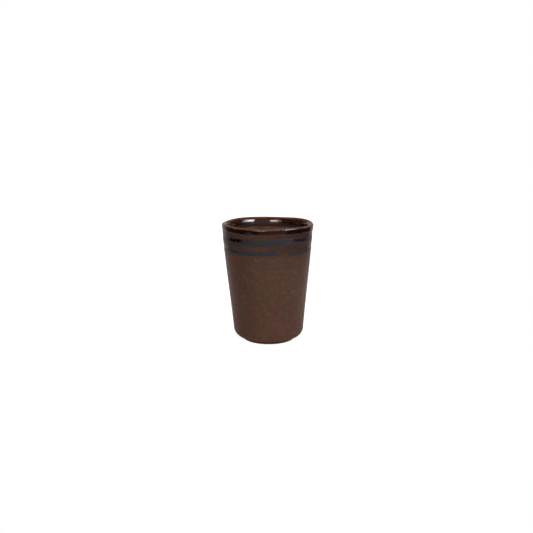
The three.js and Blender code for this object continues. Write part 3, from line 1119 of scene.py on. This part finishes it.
# A hair's streak is finer than this, and drawn coarser to show
HAIR_WIDTH = 0.45
slate, tree, place = new_finish("slate_slip")
cover = add(tree, "Attribute", attribute_name="cover").outputs["Fac"]
dark_mark = add(tree, "Attribute", attribute_name="dark_mark").outputs["Fac"]
hair_scale = (per(HAIR_LENGTH), per(HAIR_LENGTH), per(HAIR_WIDTH))
along = add(tree, "Mapping", {"Vector": place, "Scale": hair_scale})
hairs = add(tree, "TexNoise", {"Vector": along, "Scale": 1.0, "Detail": 3.0})
blotches = add(tree, "TexNoise", {"Vector": place, "Scale": per(1.8), "Detail": 3.0})
broken = add(tree, "Math", {0: hairs, 1: blotches}, operation="ADD")
laid = add(tree, "Math", {0: cover, 1: broken}, operation="ADD")
slipped = add(tree, "MapRange", {"Value": laid, "From Min": 1.0, "From Max": 1.9}, **SMOOTH)
covered = add(tree, "Math", {0: slipped, 1: dark_mark}, operation="MAXIMUM")
tint = add(tree, "Mix", {SHARE: hairs, UNDER: linear("#262529"), OVER: linear("#34343b")}, **COLOURS)
drift = add(tree, "TexNoise", {"Vector": place, "Scale": per(9), "Detail": 2.0})
tinged = {"Value": drift, "From Min": 0.42, "From Max": 0.62, "To Max": 0.75}
greener = add(tree, "MapRange", tinged, **SMOOTH)
tint = add(tree, "Mix", {SHARE: greener, UNDER: tint, OVER: linear("#2f302b")}, **COLOURS)
# Pooled slip painted nearly black; left and right of the front this black is also painted dark reflection
tint = add(tree, "Mix", {SHARE: dark_mark, UNDER: tint, OVER: linear("#060403")}, **COLOURS)
slip_colour = add(tree, "Mix", {SHARE: covered, UNDER: linear("#3c2a24"), OVER: tint}, **COLOURS)
brushing = {"Value": hairs, "From Min": 0.3, "From Max": 0.7, "To Min": 0.3, "To Max": 0.44}
brush_sheen = add(tree, "MapRange", brushing, **SMOOTH)
slip_sheen = add(tree, "MapRange", {"Value": dark_mark, "To Min": brush_sheen, "To Max": 0.12}, **SMOOTH)
skin = add(tree, "Bump", {"Height": hairs, "Strength": 0.3, "Distance": 0.05 * MM})
slip_look = {"Base Color": slip_colour, "Roughness": slip_sheen, "Normal": skin}
slip_shader = add(tree, "BsdfPrincipled", {**slip_look, "Specular IOR Level": 0.26})
add(tree, "OutputMaterial", {"Surface": slip_shader})
print("Slate slip:", len(tree.nodes), "nodes")

# %% [markdown]
# ## Bare stoneware
# Fired clay without glaze is matt and a little gritty. Iron toasts it red-brown, darker where the flame
# touched it, and grains of grog show paler. It is seen only on the foot, where the glaze was wiped off. A
# plain brown would pass from afar, but a cup is turned over and looked at.

# %% Bare stoneware
bare_clay, tree, place = new_finish("bare_red_stoneware")
sand = add(tree, "TexNoise", {"Vector": place, "Scale": per(0.9), "Detail": 4.0, "Roughness": 0.65})
flamed = add(tree, "MapRange", {"Value": sand, "From Min": 0.35, "From Max": 0.65}, **SMOOTH)
toasted = add(tree, "Mix", {SHARE: flamed, UNDER: linear("#4d3026"), OVER: linear("#6a4334")}, **COLOURS)
grog = spots(tree, place, spacing_mm=1.4, spot_mm=0.6, share=0.5)
paler = add(tree, "MapRange", {"Value": grog, "To Max": 0.6}, **SMOOTH)
clay_colour = add(tree, "Mix", {SHARE: paler, UNDER: toasted, OVER: linear("#8d6850")}, **COLOURS)
skin = add(tree, "Bump", {"Height": sand, "Strength": 0.6, "Distance": 0.12 * MM})
clay_look = {"Base Color": clay_colour, "Roughness": 0.85, "Normal": skin}
add(tree, "OutputMaterial", {"Surface": add(tree, "BsdfPrincipled", clay_look)})
print("Bare stoneware:", len(tree.nodes), "nodes")

# %% [markdown]
# ## Dressing the frame
# The frame holds the cup's solids and its one rigid body. Each piece rides on that body, stands for its
# solid, which is hidden, and takes its finish. One list says it all, so that no piece is forgotten.

# %% Dress the frame
pieces = [
    (clay_body, "clay_body", "stoneware", bare_clay),
    (outer_glaze, "outer_glaze", "satin_glaze", satin),
    (lip_glaze, "lip_glaze", "lip_gloss", gloss_lip),
    (liner_glaze, "liner_glaze", "liner_gloss", gloss_liner),
    (upper_band, "upper_slip_band", "slate_slip", slate),
    (lower_band, "lower_slip_band", "slate_slip", slate),
]
for piece, node_name, slot_name, finish in pieces:
    piece.data.materials.clear()
    piece.data.materials.append(finish)
    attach(piece, "root")
    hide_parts(node_name)
print("Pieces:", [piece.name for piece, *_ in pieces])

# %% [markdown]
# ## The table
# The cup stands on a narrow white sheet that ends a little way in front of it, as on a product table. More
# light could make the sheet white, but it would bleach the cup too. So the sheet's material glows for the
# camera, and its diffuse grey takes the cup's shadow. Gloss mirrors the glow too, but dimmer, and not towards
# the front, which leaves the dark reflections under the lip.

# %% Set the table
SHEET_WIDTH = 0.32
SHEET_LENGTH = 0.75
SHEET_MIDDLE = 0.2
GLOW_SEEN = 0.85
GLOW_MIRRORED = 0.3
GLOW_FADE = (-0.02, 0.12)


def camera_and_mirrored(tree):
    """Two masks: rays straight from the camera, and rays that come by way of gloss or glass."""
    rays = add(tree, "LightPath").outputs
    by_way = {0: rays["Is Glossy Ray"], 1: rays["Is Transmission Ray"]}
    return rays["Is Camera Ray"], add(tree, "Math", by_way, operation="MAXIMUM")


bpy.ops.object.select_all(action="DESELECT")
bpy.ops.mesh.primitive_plane_add(size=1, location=(0, SHEET_MIDDLE, 0))
table = bpy.context.object
table.name = "table"
table.scale = (SHEET_WIDTH, SHEET_LENGTH, 1)
bpy.ops.object.transform_apply(location=True, rotation=True, scale=True)
white, tree, place = new_finish("white_table")
seen, mirrored = camera_and_mirrored(tree)
from_front = add(tree, "SeparateXYZ", {"Vector": place}).outputs["Y"]
fading = {"Value": from_front, "From Min": GLOW_FADE[0], "From Max": GLOW_FADE[1], "To Max": GLOW_MIRRORED}
brighter = add(tree, "MapRange", fading, **SMOOTH)
dim = add(tree, "Math", {0: mirrored, 1: brighter}, operation="MULTIPLY")
strength = add(tree, "Math", {0: seen, 1: GLOW_SEEN, 2: dim}, operation="MULTIPLY_ADD")
lit = add(tree, "BsdfDiffuse", {"Color": linear("#a0a0a0")})
glow = add(tree, "Emission", {"Strength": strength})
add(tree, "OutputMaterial", {"Surface": add(tree, "AddShader", {0: lit, 1: glow})})
table.data.materials.append(white)
print("Sheet in metres:", [round(side, 3) for side in table.dimensions[:2]])

# %% [markdown]
# ## The room
# The room is dark all round but for three things. Behind the cup a pale sweep continues the sheet, and in
# its middle stands a white backdrop, which the gloss mirrors. In front, round the camera, the air is faintly
# violet, and the slip takes its slate from that. The camera itself sees only white. A room all in white would
# be simpler, but gloss would then mirror white everywhere and lose its depth.

# %% Fill the room
BACKDROP_TURN = math.radians(-176)
FRONT_TURN = math.radians(8)
ROOM_DARK = (0.04, 0.04, 0.04, 1)
ROOM_FRONT = (0.4, 0.38, 0.47, 1)
ROOM_SWEEP = (0.5, 0.45, 0.46, 1)
WHITE = (1, 1, 1, 1)
world = bpy.data.worlds.new("white_room")
bpy.context.scene.world = world
world.use_nodes = True
tree = world.node_tree
tree.nodes.clear()
direction = add(tree, "TexCoord").outputs["Generated"]
height = add(tree, "SeparateXYZ", {"Vector": direction}).outputs["Z"]
behind = add(tree, "VectorMath", {0: direction, 1: at(BACKDROP_TURN, 1, 0)}, operation="DOT_PRODUCT")
facing = add(tree, "VectorMath", {0: direction, 1: at(FRONT_TURN, 1, 0)}, operation="DOT_PRODUCT")
low = add(tree, "MapRange", {"Value": height, "From Min": 0.3, "From Max": 0.18}, **SMOOTH)
above = add(tree, "MapRange", {"Value": height, "From Min": -0.05, "From Max": 0.05}, **SMOOTH)
narrow = add(tree, "MapRange", {"Value": behind, "From Min": 0.92, "From Max": 0.97}, **SMOOTH)
wide = add(tree, "MapRange", {"Value": behind, "From Min": 0.58, "From Max": 0.72}, **SMOOTH)
ahead = add(tree, "MapRange", {"Value": facing, "From Min": 0.68, "From Max": 0.78}, **SMOOTH)
backdrop = add(tree, "Math", {0: narrow, 1: low}, operation="MULTIPLY")
sweep = add(tree, "Math", {0: wide, 1: low}, operation="MULTIPLY")
front = add(tree, "Math", {0: ahead, 1: above}, operation="MULTIPLY")
around = add(tree, "Mix", {SHARE: front, UNDER: ROOM_DARK, OVER: ROOM_FRONT}, **COLOURS)
around = add(tree, "Mix", {SHARE: sweep, UNDER: around, OVER: ROOM_SWEEP}, **COLOURS)
seen, mirrored = camera_and_mirrored(tree)
whitened = add(tree, "Math", {0: mirrored, 1: backdrop, 2: seen}, operation="MULTIPLY_ADD")
shown = add(tree, "Mix", {SHARE: whitened, UNDER: around, OVER: WHITE}, **COLOURS)
add(tree, "OutputWorld", {"Surface": add(tree, "Background", {"Color": shown})})
print("Room:", len(tree.nodes), "nodes")

# %% [markdown]
# ## The lamps
# Two windows stand left and right of the camera. They are there for their glints alone, one rosy and one
# blue. Each is three panes, the wider the dimmer, because a single lamp would give a glint with a hard edge.
# A broad key lamp right of the camera lights the front, two low lamps behind draw the cup's edges, and a dim
# ceiling fills the inside. These light the colours only, and gloss doesn't mirror them.

# %% Light the cup
LAMP_DISTANCE = 1.2
WINDOW_BLUE = (0.88, 0.83, 1.0)
WINDOW_ROSE = (1.0, 0.82, 0.82)
LEFT_WINDOW = 14.5
RIGHT_WINDOW = 27.0
# The panes of a window, each as (spread, share of the light, drift away from the camera in degrees)
PANES = [(1.4, 0.22, 5), (1.05, 0.34, 1), (0.7, 0.52, -3)]


def soft_lamp(name, turn, elevation, width, height, radiance, glints=False):
    """A rectangular lamp on a sphere round the cup, sized by the angles that it fills, all in degrees."""
    data = bpy.data.lights.new(name, "AREA")
    data.shape = "RECTANGLE"
    data.size = 2 * LAMP_DISTANCE * math.tan(math.radians(width / 2))
    data.size_y = 2 * LAMP_DISTANCE * math.tan(math.radians(height / 2))
    data.energy = math.pi * data.size * data.size_y * radiance
    lamp = bpy.data.objects.new(name, data)
    bpy.context.scene.collection.objects.link(lamp)
    up = math.radians(elevation)
    out = at(math.radians(turn), math.cos(up), math.sin(up))
    lamp.location = LAMP_DISTANCE * out + Vector((0, 0, cup_height))
    lamp.rotation_mode = "QUATERNION"
    lamp.rotation_quaternion = out.to_track_quat("Z", "Y")
    lamp.visible_camera = False
    lamp.visible_glossy = glints
    lamp.visible_diffuse = not glints
    return lamp


for spread, share, drift in PANES:
    left_pane = soft_lamp(
        "left_window",
        turn=-20 - drift,
        elevation=24,
        width=20 * spread,
        height=18 * spread,
        radiance=LEFT_WINDOW * share,
        glints=True,
    )
    left_pane.data.color = WINDOW_ROSE
    right_pane = soft_lamp(
        "right_window",
        turn=56 + drift,
        elevation=25,
        width=23 * spread,
        height=20 * spread,
        radiance=RIGHT_WINDOW * share,
        glints=True,
    )
    right_pane.data.color = WINDOW_BLUE
soft_lamp("key", turn=12, elevation=35, width=50, height=40, radiance=5.0)
soft_lamp("left_back", turn=-127, elevation=11, width=40, height=40, radiance=5.5)
soft_lamp("right_back", turn=127, elevation=14, width=40, height=40, radiance=5.6)
soft_lamp("ceiling", turn=0, elevation=88, width=60, height=60, radiance=0.4)

# %% [markdown]
# ## Finish
# The visual model should stay close to the box of the solids. Here the view transform is set to Standard.

# %% Finish
bpy.context.scene.view_settings.view_transform = "Standard"
